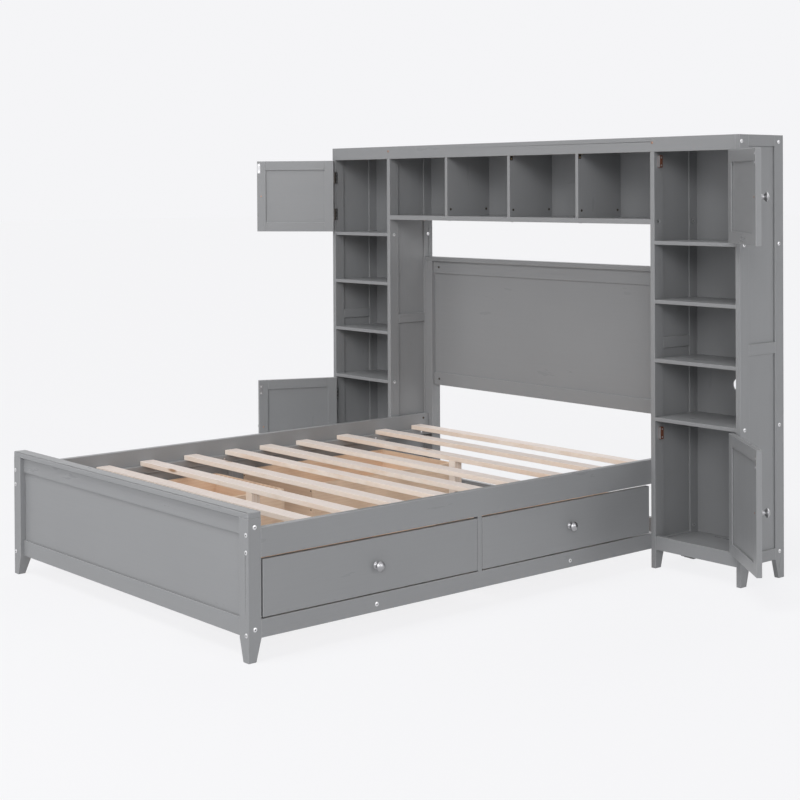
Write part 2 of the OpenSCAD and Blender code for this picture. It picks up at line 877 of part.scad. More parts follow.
// A mushroom knob along +Z: a flared foot, a neck and a domed cap, bored for its screw
module knob() {
    difference() {
        union() {
            cylinder(r1 = knob_base_r, r2 = knob_neck_r, h = knob_base_h);
            cylinder(r = knob_neck_r, h = knob_neck_top);
            translate([0, 0, knob_neck_top])
                cylinder(r1 = knob_neck_r, r2 = knob_d / 2, h = knob_rim - knob_neck_top);
            intersection() {
                translate([0, 0, knob_l - knob_dome_r]) sphere(r = knob_dome_r, $fn = 64);
                translate([0, 0, knob_rim]) cylinder(r = knob_d, h = knob_dome_h + cut);
            }
        }
        translate([0, 0, -cut]) cylinder(r = knob_screw_r + bolt_slack, h = knob_screw_in + 2 * cut);
    }
}

// The screw that holds a knob, its head on the far face of wood t thick
module knob_screw(t) {
    translate([0, 0, -t - knob_screw_head_t]) cylinder(r = knob_screw_head_r, h = knob_screw_head_t);
    translate([0, 0, -t]) cylinder(r = knob_screw_r, h = t + knob_screw_in);
}

module door_knob(a, left, z) {
    hang(a, left) in_doorway(z[0]) translate([knob_in, 0, (z[1] - z[0]) / 2]) rotate([90, 0, 0]) {
        color(steel) {
            knob();
            knob_screw(door_t);
        }
    }
}

// The moving halves of the hinges, and the strike plate that meets the catch
module door_fittings(a, left, z, drop) {
    knuckle_h = hinge_h / 4;
    rise = knuckle_h + knuckle_gap;
    color(dark_metal) hang(a, left) for (hz = hinge_zs(z)) {
        translate([pin_x, pin_y, hz - hinge_h / 2]) {
            translate([0, 0, rise]) difference() {
                union() {
                    cylinder(r = knuckle_r, h = hinge_h - 2 * rise);
                    translate([-hinge_gap / 2, 0, 0]) cube([leaf_t, pin_out, hinge_h - 2 * rise]);
                }
                translate([0, 0, -cut]) cylinder(r = pin_r + pin_gap, h = hinge_h);
            }
            translate([-hinge_gap / 2, pin_out, 0]) cube([leaf_t, leaf_w, hinge_h]);
        }
    }
    strike_z = z[1] - drop;
    color(steel) hang(a, left) board(
        [bay_x0 + door_gap + strike_inset, front_y + door_t, strike_z - catch_size.z / 2],
        [bay_x0 + door_gap + strike_inset + strike_w, front_y + door_t + strike_t,
            strike_z + catch_size.z / 2]);
}

// A drawer's front, closed flush with the side rails
module drawer_front(i, left) {
    y = drawer_spans[i];
    color(paint) mirror([left ? 1 : 0, 0, 0]) difference() {
        board([side_x - front_t, y[0], front_z0], [side_x, y[1], front_z1]);
        translate([side_x - front_t - cut, drawer_mid(i), knob_z]) rotate([0, 90, 0])
            cylinder(r = knob_screw_r + bolt_slack, h = front_t + 2 * cut);
    }
}

// A drawer's box: four boards round a thin bottom that stands in their grooves
module drawer_box(i, left) {
    y0 = drawer_spans[i][0] + box_inset;
    y1 = drawer_spans[i][1] - box_inset;
    x1 = side_x - front_t;
    x0 = x1 - box_d;
    z_floor = box_z0 + box_floor_up;
    in_y0 = y0 + box_t + fit;
    in_y1 = y1 - box_t - fit;
    edge = box_t - box_groove;
    color(drawer_wood) mirror([left ? 1 : 0, 0, 0]) {
        difference() {
            union() {
                board([x0, y0, box_z0], [x1, y0 + box_t, box_top]);
                board([x0, y1 - box_t, box_z0], [x1, y1, box_top]);
                board([x0, in_y0, box_z0], [x0 + box_t, in_y1, box_top]);
                board([x1 - box_t, in_y0, box_z0], [x1, in_y1, box_top]);
            }
            board([x0 + edge, y0 + edge, z_floor - fit], [x1 - edge, y1 - edge, z_floor + box_floor_t + fit]);
            translate([x1 - box_t - cut, drawer_mid(i), knob_z]) rotate([0, 90, 0])
                cylinder(r = knob_screw_head_r + end_gap, h = box_t + 2 * cut);
        }
        board([x0 + edge + end_gap, y0 + edge + end_gap, z_floor],
            [x1 - edge - end_gap, y1 - edge - end_gap, z_floor + box_floor_t]);
        drawer_guide(x0 + box_t + fit, drawer_mid(i), z_floor - fit);
    }
}

// The guide under the back of a drawer: a block and two cheeks that straddle the cross bearer
module drawer_guide(x0, y_mid, z1) {
    inner = bearer_w / 2 + guide_slack;
    outer = inner + guide_cheek;
    z0 = bearer_top + guide_lift;
    board([x0, y_mid - outer, z0], [x0 + guide_l, y_mid + outer, z1]);
    for (y = [y_mid - outer, y_mid + inner]) {
        board([x0, y, z0 - guide_drop], [x0 + guide_l, y + guide_cheek, z0 - fit]);
    }
}

module drawer_knob(i, left) {
    mirror([left ? 1 : 0, 0, 0]) translate([side_x, drawer_mid(i), knob_z]) rotate([0, 90, 0]) {
        color(steel) {
            knob();
            knob_screw(front_t);
        }
    }
}

foot_posts();
footboard_cap();
footboard_rails();
footboard_panel();
head_posts();
headboard_cap();
headboard_rails();
headboard_panel();
side_rails();
low_side_rails();
drawer_stiles();
slat_ledgers();
cross_bearers();
slats();
centre_legs();
tower_outer_sides();
tower_inner_sides();
tower_side_panels();
tower_shelves();
tower_aprons();
tower_backs();
right_tower_back();
top_boards();
fascia();
bridge_board();
bridge_dividers();
bolts();
barrel_nuts();
divider_brackets();
door_catches();
hinge_leaves();
apron_block();
door_frame(wide_open, false, upper_z);  // upper_right_door_frame
door_panel(wide_open, false, upper_z);  // upper_right_door_panel
door_knob(wide_open, false, upper_z);  // upper_right_door_knob
door_fittings(wide_open, false, upper_z, catch_drop[0]);  // upper_right_door_fittings
door_frame(wide_open, false, lower_z);  // lower_right_door_frame
door_panel(wide_open, false, lower_z);  // lower_right_door_panel
door_knob(wide_open, false, lower_z);  // lower_right_door_knob
door_fittings(wide_open, false, lower_z, catch_drop[1]);  // lower_right_door_fittings
door_frame(wide_open, true, upper_z);  // upper_left_door_frame
door_panel(wide_open, true, upper_z);  // upper_left_door_panel
door_knob(wide_open, true, upper_z);  // upper_left_door_knob
door_fittings(wide_open, true, upper_z, catch_drop[0]);  // upper_left_door_fittings
door_frame(part_open, true, lower_z);  // lower_left_door_frame
door_panel(part_open, true, lower_z);  // lower_left_door_panel
door_knob(part_open, true, lower_z);  // lower_left_door_knob
door_fittings(part_open, true, lower_z, catch_drop[1]);  // lower_left_door_fittings
drawer_front(0, false);  // right_foot_drawer_front
drawer_box(0, false);  // right_foot_drawer_box
drawer_knob(0, false);  // right_foot_drawer_knob
drawer_front(1, false);  // right_head_drawer_front
drawer_box(1, false);  // right_head_drawer_box
drawer_knob(1, false);  // right_head_drawer_knob
drawer_front(0, true);  // left_foot_drawer_front
drawer_box(0, true);  // left_foot_drawer_box
drawer_knob(0, true);  // left_foot_drawer_knob
drawer_front(1, true);  // left_head_drawer_front
drawer_box(1, true);  // left_head_drawer_box
drawer_knob(1, true);  // left_head_drawer_knob
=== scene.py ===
import math
import random
import zlib

import bmesh
import bpy
from mathutils import Matrix, Vector
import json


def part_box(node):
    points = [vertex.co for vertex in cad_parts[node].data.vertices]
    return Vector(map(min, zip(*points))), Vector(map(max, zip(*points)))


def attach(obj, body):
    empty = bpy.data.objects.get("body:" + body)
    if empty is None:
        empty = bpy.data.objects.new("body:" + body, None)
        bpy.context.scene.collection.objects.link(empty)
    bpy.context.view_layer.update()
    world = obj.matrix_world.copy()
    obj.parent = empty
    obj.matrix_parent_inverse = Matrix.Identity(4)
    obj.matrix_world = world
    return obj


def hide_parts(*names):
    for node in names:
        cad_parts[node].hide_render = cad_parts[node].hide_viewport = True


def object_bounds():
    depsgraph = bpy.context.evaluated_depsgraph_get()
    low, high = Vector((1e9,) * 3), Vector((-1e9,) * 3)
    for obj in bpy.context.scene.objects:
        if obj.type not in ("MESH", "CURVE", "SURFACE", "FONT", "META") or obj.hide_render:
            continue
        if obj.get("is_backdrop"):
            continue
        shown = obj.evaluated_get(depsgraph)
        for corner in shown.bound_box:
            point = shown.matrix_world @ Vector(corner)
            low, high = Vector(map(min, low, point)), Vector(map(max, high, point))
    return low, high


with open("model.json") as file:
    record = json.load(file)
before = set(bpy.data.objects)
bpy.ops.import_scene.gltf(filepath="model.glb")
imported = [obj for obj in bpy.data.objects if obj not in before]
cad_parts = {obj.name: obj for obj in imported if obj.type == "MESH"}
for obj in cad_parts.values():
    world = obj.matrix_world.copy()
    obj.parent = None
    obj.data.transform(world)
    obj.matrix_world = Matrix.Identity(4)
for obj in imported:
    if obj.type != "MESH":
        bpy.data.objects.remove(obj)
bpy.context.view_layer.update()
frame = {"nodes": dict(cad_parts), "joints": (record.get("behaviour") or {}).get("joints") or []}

# The studio: the camera stands low beyond the foot of the bed and looks along it, with its
# lens shifted down so that the posts stay upright in the picture.
camera_azimuth, camera_elevation, camera_roll = 49.59, 0.56, -0.28
focal_length, film_width, lens_shift, sight_end = 71.385, 36, -0.245, 200
lens_place = Vector((4.4103, -3.5608, 1.3470))


def from_the_bed(azimuth, elevation):
    """The way from the bed to a stand in the room, in degrees round from the foot and up."""
    a, e = math.radians(azimuth), math.radians(elevation)
    return Vector((math.sin(a) * math.cos(e), -math.cos(a) * math.cos(e), math.sin(e)))


def placed(name, data):
    """A new object of the scene, at the origin."""
    made = bpy.data.objects.new(name, data)
    bpy.context.scene.collection.objects.link(made)
    return made


toward_lens = from_the_bed(camera_azimuth, camera_elevation)
level_right = Vector((0, 0, 1)).cross(toward_lens).normalized()
level_up = toward_lens.cross(level_right)
roll = math.radians(camera_roll)
picture_right = level_right * math.cos(roll) + level_up * math.sin(roll)
picture_up = level_up * math.cos(roll) - level_right * math.sin(roll)
studio_camera = placed("studio_camera", bpy.data.cameras.new("studio_camera"))
studio_camera.data.lens = focal_length
studio_camera.data.sensor_width = film_width
studio_camera.data.shift_y = lens_shift
studio_camera.data.clip_end = sight_end
camera_turn = Matrix((picture_right, picture_up, toward_lens)).transposed()
studio_camera.matrix_world = Matrix.Translation(lens_place) @ camera_turn.to_4x4()
bpy.context.scene.camera = studio_camera
bpy.context.scene.view_settings.view_transform = "Standard"


# Large soft lamps: the main ones high and low in front of the footboard and along the right-hand
# side, weaker ones behind, each given by its azimuth, elevation, strength and spread.
def new_lamp(name, kind, toward, power):
    """A lamp that shines on the bed from that way."""
    lamp = placed(name, bpy.data.lights.new(name, kind))
    lamp.rotation_mode = "QUATERNION"
    lamp.rotation_quaternion = toward.to_track_quat("Z", "Y")
    lamp.data.energy = power
    return lamp


for name, azimuth, elevation, strength, spread in (
        ("front_softbox", 0, 65, 1.0, 30),
        ("front_right_softbox", 40, 20, 0.85, 22),
        ("near_right_softbox", 60, 20, 0.32, 22),
        ("right_softbox", 100, 20, 0.63, 22),
        ("low_right_strip", 120, 5, 0.29, 22),
        ("low_left_strip", -40, 5, 0.2, 22),
        ("back_softbox", 210, 40, 0.5, 40),
        ("low_back_softbox", 195, 15, 0.7, 40)):
    softbox = new_lamp(name, "SUN", from_the_bed(azimuth, elevation), strength)
    softbox.data.angle = math.radians(spread)

panel_width, panel_height, panel_distance = 2.4, 1.8, 4.5
bed_middle = Vector((0, 0, 0.7))
for name, azimuth, elevation, watts in (
        ("low_front_panel", 10, 12, 34),
        ("high_front_panel", 10, 50, 41)):
    toward_panel = from_the_bed(azimuth, elevation)
    panel = new_lamp(name, "AREA", toward_panel, watts)
    panel.data.shape = "RECTANGLE"
    panel.data.size = panel_width
    panel.data.size_y = panel_height
    panel.location = bed_middle + toward_panel * panel_distance
    panel.visible_camera = False


# The room: a pale backdrop that gives a weak even light, and a matt floor that takes the bed's
# shadow. What the camera sees of both is mixed from a plain tone, so they read as one surface.
backdrop_tone = (0.912, 0.912, 0.929, 1)
room_strength = 0.08
floor_reach = 60
floor_tone = (0.86, 0.86, 0.875, 1)
floor_glow_tone = (0.943, 0.943, 0.959, 1)
floor_glow_share = 0.88


def node(tree, kind, inputs=None, **options):
    """A new node with its options, and its inputs fed with sockets or plain values."""
    made = tree.nodes.new(kind)
    for option, value in options.items():
        setattr(made, option, value)
    for label, value in (inputs or {}).items():
        if isinstance(value, bpy.types.NodeSocket):
            tree.links.new(value, made.inputs[label])
        else:
            made.inputs[label].default_value = value
    return made


def maths(tree, operation, *values):
    return node(tree, "ShaderNodeMath", dict(enumerate(values)), operation=operation).outputs[0]


def seen_directly(tree):
    """1 for rays that come straight from the camera, or by a mirror or through glass."""
    ray = node(tree, "ShaderNodeLightPath").outputs
    seen = maths(tree, "MAXIMUM", ray["Is Camera Ray"], ray["Is Glossy Ray"])
    return maths(tree, "MAXIMUM", seen, ray["Is Transmission Ray"])


room = bpy.data.worlds.new("room")
bpy.context.scene.world = room
room.use_nodes = True
room.node_tree.nodes.clear()
room_light = node(room.node_tree, "ShaderNodeBackground", {
    "Color": (1, 1, 1, 1), "Strength": room_strength})
room_wall = node(room.node_tree, "ShaderNodeBackground", {"Color": backdrop_tone, "Strength": 1})
room_mix = node(room.node_tree, "ShaderNodeMixShader", {
    0: seen_directly(room.node_tree), 1: room_light.outputs[0], 2: room_wall.outputs[0]})
node(room.node_tree, "ShaderNodeOutputWorld", {"Surface": room_mix.outputs[0]})

floor_mesh = bpy.data.meshes.new("studio_floor")
floor_corners = [(x * floor_reach, y * floor_reach, 0) for x, y in ((-1, -1), (1, -1), (1, 1), (-1, 1))]
floor_mesh.from_pydata(floor_corners, [], [(0, 1, 2, 3)])
studio_floor = placed("studio_floor", floor_mesh)
floor_paint = bpy.data.materials.new("studio_floor")
floor_paint.use_nodes = True
floor_paint.node_tree.nodes.clear()
floor_matt = node(floor_paint.node_tree, "ShaderNodeBsdfDiffuse", {"Color": floor_tone})
floor_glow = node(floor_paint.node_tree, "ShaderNodeEmission", {"Color": floor_glow_tone})
floor_seen = seen_directly(floor_paint.node_tree)
floor_share = maths(floor_paint.node_tree, "MULTIPLY", floor_seen, floor_glow_share)
floor_even = node(floor_paint.node_tree, "ShaderNodeMixShader", {
    0: floor_share, 1: floor_matt.outputs[0], 2: floor_glow.outputs[0]})
node(floor_paint.node_tree, "ShaderNodeOutputMaterial", {"Surface": floor_even.outputs[0]})
floor_mesh.materials.append(floor_paint)
studio_floor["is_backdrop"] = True


# The two short corner posts at the foot. Solid square timber with the foot drawn in to a toe,
# sprayed in a satin grey; the sharp corners are eased with sandpaper before spraying.
grey = (0.258, 0.2623, 0.2698, 1)
# A lighter grey for the eased edges: partly paint rubbed thin there, partly a painted highlight along the
# arrises.
worn_and_highlit_grey = (0.302, 0.3063, 0.3138, 1)
easing, sharp_turn = 0.0013, math.radians(32)
weld_gap, flat_turn = 0.00001, math.radians(0.6)
plank_offset = 20
still = Matrix.Identity(4)


def stretched(tree, place, size):
    """A place in the grain or on a part, packed or stretched along each axis."""
    return node(tree, "ShaderNodeVectorMath", {0: place, 1: size}, operation="MULTIPLY").outputs[0]


def cloudy(tree, place, scale, detail=3, roughness=0.55):
    """Soft noise from 0 to 1."""
    return node(tree, "ShaderNodeTexNoise", {
        "Vector": place, "Scale": scale, "Detail": detail, "Roughness": roughness}).outputs["Fac"]


def between(tree, share, low, high):
    """Carries a value from 0 to 1 over to the span from low to high."""
    return maths(tree, "MULTIPLY_ADD", share, high - low, low)


def toned(tree, colour, value):
    """The colour made lighter or darker by a factor."""
    return node(tree, "ShaderNodeHueSaturation", {"Color": colour, "Value": value}).outputs["Color"]


def relief(tree, height, depth, strength, **below):
    """The normal of a surface raised by a height; depth is in metres."""
    return node(tree, "ShaderNodeBump", {
        "Height": height, "Distance": depth, "Strength": strength, **below}).outputs["Normal"]


def grain_place(tree):
    """Where a point lies along, across and through its board."""
    return node(tree, "ShaderNodeAttribute", attribute_name="grain").outputs["Vector"]


def start_finish(name, inputs):
    """A node group for a finish, and the outputs of its input node."""
    group = bpy.data.node_groups.new(name, "ShaderNodeTree")
    for label, value in inputs.items():
        kind = "NodeSocketColor" if isinstance(value, tuple) else "NodeSocketFloat"
        socket = group.interface.new_socket(label, in_out="INPUT", socket_type=kind)
        socket.default_value = value
    for label, kind in (("Colour", "Color"), ("Roughness", "Float"), ("Normal", "Vector")):
        group.interface.new_socket(label, in_out="OUTPUT", socket_type="NodeSocket" + kind)
    return group, node(group, "NodeGroupInput").outputs


def end_finish(group, colour, roughness, normal):
    node(group, "NodeGroupOutput", {"Colour": colour, "Roughness": roughness, "Normal": normal})
    return group


def finish_from(group, name, settings, plain):
    """A material whose colour, roughness and relief come from a finish group."""
    made = bpy.data.materials.new(name)
    made.use_nodes = True
    finish = node(made.node_tree, "ShaderNodeGroup", settings, node_tree=group)
    shader = made.node_tree.nodes["Principled BSDF"]
    for label, source in (("Base Color", "Colour"), ("Roughness", "Roughness"), ("Normal", "Normal")):
        made.node_tree.links.new(finish.outputs[source], shader.inputs[label])
    for label, value in plain.items():
        shader.inputs[label].default_value = value
    made.diffuse_color = settings["Colour"]
    return made


def sprayed_paint_group():
    """Satin paint over timber: the grain telegraphs faintly, the film has a fine orange peel."""
    group, given = start_finish("sprayed_paint", {"Colour": grey, "Grain": 1.0})
    place = grain_place(group)
    film = cloudy(group, place, scale=2.2, detail=2)
    fibre = cloudy(group, stretched(group, place, (3, 160, 160)), scale=1, detail=4, roughness=0.65)
    smear = cloudy(group, stretched(group, place, (1, 5, 5)), scale=4, detail=4)
    peel = cloudy(group, place, scale=420, detail=2)
    fibre_tone = maths(group, "MULTIPLY", between(group, fibre, -0.025, 0.025), given["Grain"])
    tone = maths(group, "ADD", between(group, film, 0.965, 1.035), fibre_tone)
    strength = maths(group, "MULTIPLY", given["Grain"], 0.6)
    fibres = relief(group, fibre, depth=0.00012, strength=strength)
    return end_finish(group, toned(group, given["Colour"], tone), between(group, smear, 0.23, 0.37),
                      relief(group, peel, depth=0.00006, strength=0.5, Normal=fibres))


sprayed_paint = sprayed_paint_group()
grey_paint = finish_from(sprayed_paint, "grey_paint", {"Colour": grey, "Grain": 1.0},
                         {"Specular IOR Level": 0.18})
# The eased edges take the lighter grey with less grain: paint rubbed thin, and a painted highlight along
# every arris.
rubbed_and_highlit_paint = finish_from(sprayed_paint, "rubbed_and_highlit_paint", {"Colour": worn_and_highlit_grey, "Grain": 0.4},
                           {"Specular IOR Level": 0.25})
painted = (grey_paint, rubbed_and_highlit_paint)


def extent(places):
    """The lowest and the highest corner of the box round some points."""
    return (Vector([min(p[k] for p in places) for k in range(3)]),
            Vector([max(p[k] for p in places) for k in range(3)]))


def boards_of(work):
    """The separate boards of a welded mesh from the bottom up, each as its list of corners."""
    left, boards = set(work.verts), []
    while left:
        board, reach = [], [left.pop()]
        while reach:
            corner = reach.pop()
            board.append(corner)
            for edge in corner.link_edges:
                other = edge.other_vert(corner)
                if other in left:
                    left.remove(other)
                    reach.append(other)
        boards.append(board)
    return sorted(boards, key=lambda b: tuple(round(min(v.co[k] for v in b), 4) for k in (2, 1, 0)))


def welded(part):
    """The CAD part's loose triangles joined into closed boards."""
    work = bmesh.new()
    work.from_mesh(frame["nodes"][part].data)
    bmesh.ops.remove_doubles(work, verts=work.verts, dist=weld_gap)
    return work


def lay_grain(work, name, unswing):
    """Writes where each corner lies along, across and through its board, from a start of its own."""
    place = work.verts.layers.float_vector.new("grain")
    for number, board in enumerate(boards_of(work)):
        flat = [unswing @ v.co for v in board]
        low, high = extent(flat)
        order = sorted(range(3), key=lambda k: low[k] - high[k])
        dice = random.Random(zlib.crc32(f"{name}{number}".encode()))
        start = [dice.uniform(-plank_offset, plank_offset) for _ in range(3)]
        for v, p in zip(board, flat):
            v[place] = Vector([p[k] - (low[k] + high[k]) / 2 + s for k, s in zip(order, start)])


def eased(piece, width, edge_finish):
    """Sands the corners off a piece, and keeps its broad faces flat in shading."""
    arris = piece.modifiers.new("eased_edges", "BEVEL")
    arris.width = width
    arris.segments = 2
    arris.limit_method = "ANGLE"
    arris.angle_limit = sharp_turn
    arris.use_clamp_overlap = False
    arris.material = edge_finish
    even = piece.modifiers.new("even_shading", "WEIGHTED_NORMAL")
    even.mode = "FACE_AREA"
    even.weight = 100
    even.keep_sharp = True


def from_the_cad(part, finishes, body="frame", ease=easing, unswing=still):
    """The CAD part's boards with eased edges: the first finish for the faces, the last for the edges."""
    work = welded(part)
    bmesh.ops.dissolve_limit(work, angle_limit=flat_turn, verts=work.verts, edges=work.edges)
    lay_grain(work, part, unswing)
    for face in work.faces:
        face.material_index = 0
        face.smooth = True
    mesh = bpy.data.meshes.new(part + "_finished")
    work.to_mesh(mesh)
    work.free()
    for finish in finishes:
        mesh.materials.append(finish)
    piece = placed(part + "_finished", mesh)
    eased(piece, ease, len(finishes) - 1)
    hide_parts(part)
    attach(piece, body)
    return piece


from_the_cad("foot_posts", painted)

# The footboard: a panel let into grooved rails between the posts, with a moulded cap on top.
# Painted timber frame, thin painted panel; it is tenoned and bolted between the posts.
panel_easing, cap_easing = 0.0006, 0.002
from_the_cad("footboard_rails", painted)
from_the_cad("footboard_panel", painted, ease=panel_easing)
from_the_cad("footboard_cap", painted, ease=cap_easing)

# The tall posts at the head and the headboard between them, made as the footboard is, with one
# more rail. The same painted timber; the rails are bolted to the posts.
from_the_cad("head_posts", painted)
from_the_cad("headboard_rails", painted)
from_the_cad("headboard_panel", painted, ease=panel_easing)
from_the_cad("headboard_cap", painted, ease=cap_easing)

# The side rails above and below the drawers and the stile between the drawers.
# Painted timber, bolted into the posts at both ends.
from_the_cad("side_rails", painted)
from_the_cad("low_side_rails", painted)
from_the_cad("drawer_stiles", painted)


# The ledgers that carry the slats, painted and screwed inside the side rails. Under them, in bare
# planed softwood, the bearers across the bed and the legs that prop the slats.
pine_pale = (0.84, 0.76, 0.72, 1)
pine_dark = (0.70, 0.555, 0.455, 1)
knot_brown = (0.42, 0.27, 0.17, 1)
edge_pale = (0.85, 0.755, 0.675, 1)
edge_dark = (0.74, 0.575, 0.45, 1)


def ramp(tree, value, *stops):
    """The value carried over to a tone: each of the two stops is a value and its tone."""
    made = node(tree, "ShaderNodeValToRGB", {"Fac": value})
    for stop, (place, tone) in zip(made.color_ramp.elements, stops):
        stop.position = place
        stop.color = (tone, tone, tone, 1)
    return made.outputs["Color"]


def blended(tree, share, first, second):
    """Two colours mixed; the share is the second one's."""
    return node(tree, "ShaderNodeMix", {0: share, 6: first, 7: second}, data_type="RGBA").outputs[2]


def planed_softwood_group():
    """Softwood as the plane leaves it: growth rings cut lengthwise, fine fibres and a few knots."""
    group, given = start_finish("planed_softwood", {
        "Colour": pine_pale, "Ring colour": pine_dark, "Knot colour": knot_brown,
        "Rings": 0.75, "Knots": 1.0})
    place = grain_place(group)
    rings = node(group, "ShaderNodeTexWave", {
        "Vector": stretched(group, place, (0.55, 1.6, 1.2)), "Scale": 16, "Distortion": 3.2, "Detail": 2,
        "Detail Scale": 0.9, "Detail Roughness": 0.55}, wave_type="BANDS", bands_direction="Y")
    late = ramp(group, rings.outputs["Fac"], (0.35, 0), (1.0, 1))
    fibre = cloudy(group, stretched(group, place, (9, 420, 420)), scale=1, roughness=0.7)
    flame = cloudy(group, stretched(group, place, (1.2, 9, 9)), scale=1.4)
    share = maths(group, "MULTIPLY", late, given["Rings"])
    share = maths(group, "MULTIPLY", share, ramp(group, flame, (0.3, 0.25), (0.7, 1.0)))
    wood = blended(group, share, given["Colour"], given["Ring colour"])
    knots = node(group, "ShaderNodeTexVoronoi", {
        "Vector": stretched(group, place, (3.1, 14, 14)), "Scale": 1, "Randomness": 0.9})
    knot = ramp(group, knots.outputs["Distance"], (0.05, 1), (0.11, 0))
    wood = blended(group, maths(group, "MULTIPLY", knot, given["Knots"]), wood, given["Knot colour"])
    board_tone = cloudy(group, stretched(group, place, (0.05, 0.05, 0.05)), scale=1, detail=1)
    tone = maths(group, "ADD", between(group, board_tone, 0.86, 1.08), between(group, fibre, -0.06, 0.06))
    return end_finish(group, toned(group, wood, tone), between(group, fibre, 0.56, 0.72),
                      relief(group, fibre, depth=0.00018, strength=0.6))


planed_softwood = planed_softwood_group()
pine_edge = finish_from(planed_softwood, "sawn_pine_edge", {"Colour": edge_pale, "Ring colour": edge_dark},
                        {"Specular IOR Level": 0.3})
from_the_cad("slat_ledgers", painted)
from_the_cad("cross_bearers", (pine_edge,))
from_the_cad("centre_legs", (pine_edge,))


# The slats: nine planed pine boards of one size laid across the bed on the ledgers, a few of
# them nudged along it. Each is cut from its own part of a plank, so no two have the same grain.
slat_easing = 0.0016
pine = finish_from(planed_softwood, "planed_pine", {"Colour": pine_pale}, {"Specular IOR Level": 0.35})


def board_boxes(part, unswing=still):
    """The lowest and highest corner of each board of a CAD part."""
    work = welded(part)
    boxes = [extent([unswing @ v.co for v in board]) for board in boards_of(work)]
    work.free()
    return boxes


def xyz(tree, x=0.0, y=0.0, z=0.0):
    return node(tree, "ShaderNodeCombineXYZ", {"X": x, "Y": y, "Z": z}).outputs[0]


def start_tree(name, inputs):
    """A Geometry Nodes tree with points in, a mesh out and named sizes, and what it is given."""
    tree = bpy.data.node_groups.new(name, "GeometryNodeTree")
    tree.interface.new_socket("Points", in_out="INPUT", socket_type="NodeSocketGeometry")
    tree.interface.new_socket("Mesh", in_out="OUTPUT", socket_type="NodeSocketGeometry")
    for label, value in inputs.items():
        kind = "NodeSocketMaterial" if value is None else "NodeSocketFloat"
        socket = tree.interface.new_socket(label, in_out="INPUT", socket_type=kind)
        if value is not None:
            socket.default_value = value
    return tree, node(tree, "NodeGroupInput").outputs


def here(tree):
    return node(tree, "GeometryNodeInputPosition").outputs[0]


def named(tree, name, kind="FLOAT_VECTOR"):
    """What every point or corner carries under that name."""
    made = node(tree, "GeometryNodeInputNamedAttribute", {"Name": name}, data_type=kind)
    return made.outputs["Attribute"]


def stored(tree, shape, name, value, kind="FLOAT_VECTOR", domain="POINT"):
    """The shape with a value kept on it under that name."""
    made = node(tree, "GeometryNodeStoreNamedAttribute", {
        "Geometry": shape, "Name": name, "Value": value}, data_type=kind, domain=domain)
    return made.outputs["Geometry"]


def real(tree, copies):
    return node(tree, "GeometryNodeRealizeInstances", {"Geometry": copies}).outputs["Geometry"]


def coated(tree, shape, finish, **only):
    """The shape in its material, or only its selected faces."""
    return node(tree, "GeometryNodeSetMaterial", {
        "Geometry": shape, "Material": finish, **only}).outputs["Geometry"]


def run_tree(tree, name, points, carried, settings):
    """Puts the tree on loose points, takes its result as a plain mesh and drops the modifier."""
    loose = bpy.data.meshes.new(name + "_points")
    loose.from_pydata([tuple(p) for p in points], [], [])
    for label, values in carried.items():
        kind, field = ("FLOAT", "value") if isinstance(values[0], float) else ("FLOAT_VECTOR", "vector")
        for item, value in zip(loose.attributes.new(label, kind, "POINT").data, values):
            setattr(item, field, value)
    piece = placed(name, loose)
    tool = piece.modifiers.new(tree.name, "NODES")
    tool.node_group = tree
    sockets = {s.name: s.identifier for s in tree.interface.items_tree if s.in_out == "INPUT"}
    for label, value in settings.items():
        tool[sockets[label]] = value
    held = bpy.context.evaluated_depsgraph_get()
    made = bpy.data.meshes.new_from_object(piece.evaluated_get(held), depsgraph=held)
    piece.modifiers.remove(tool)
    piece.data = made
    made.name = name
    bpy.data.meshes.remove(loose)
    return piece


def slat_tree():
    """A plank at every point, with its grain shifted by where it was cut."""
    tree, given = start_tree("slat_row", {"Length": 1.4, "Width": 0.06, "Thickness": 0.02, "Finish": None})
    size = xyz(tree, given["Length"], given["Width"], given["Thickness"])
    plank = node(tree, "GeometryNodeMeshCube", {"Size": size}).outputs["Mesh"]
    plank = stored(tree, plank, "grain", here(tree))
    row = node(tree, "GeometryNodeInstanceOnPoints", {"Points": given["Points"], "Instance": plank})
    shifted = node(tree, "ShaderNodeVectorMath", {
        0: named(tree, "grain"), 1: named(tree, "plank_start")}, operation="ADD").outputs[0]
    row = stored(tree, real(tree, row.outputs["Instances"]), "grain", shifted)
    node(tree, "NodeGroupOutput", {"Mesh": coated(tree, row, given["Finish"])})
    return tree


slat_boxes = board_boxes("slats")
slat_size = slat_boxes[0][1] - slat_boxes[0][0]
plank_dice = random.Random(41)
plank_starts = [[plank_dice.uniform(-plank_offset, plank_offset) for _ in range(3)] for _ in slat_boxes]
slats = run_tree(
    slat_tree(), "slat_boards", [(low + high) / 2 for low, high in slat_boxes],
    {"plank_start": plank_starts},
    {"Length": slat_size.x, "Width": slat_size.y, "Thickness": slat_size.z, "Finish": pine})
slats.data.materials.clear()
for finish in (pine, pine_edge):
    slats.data.materials.append(finish)
eased(slats, slat_easing, -1)
for face in slats.data.polygons:
    face.use_smooth = True
    face.material_index = 0 if abs(face.normal.z) > 0.5 else 1
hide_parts("slats")
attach(slats, "frame")


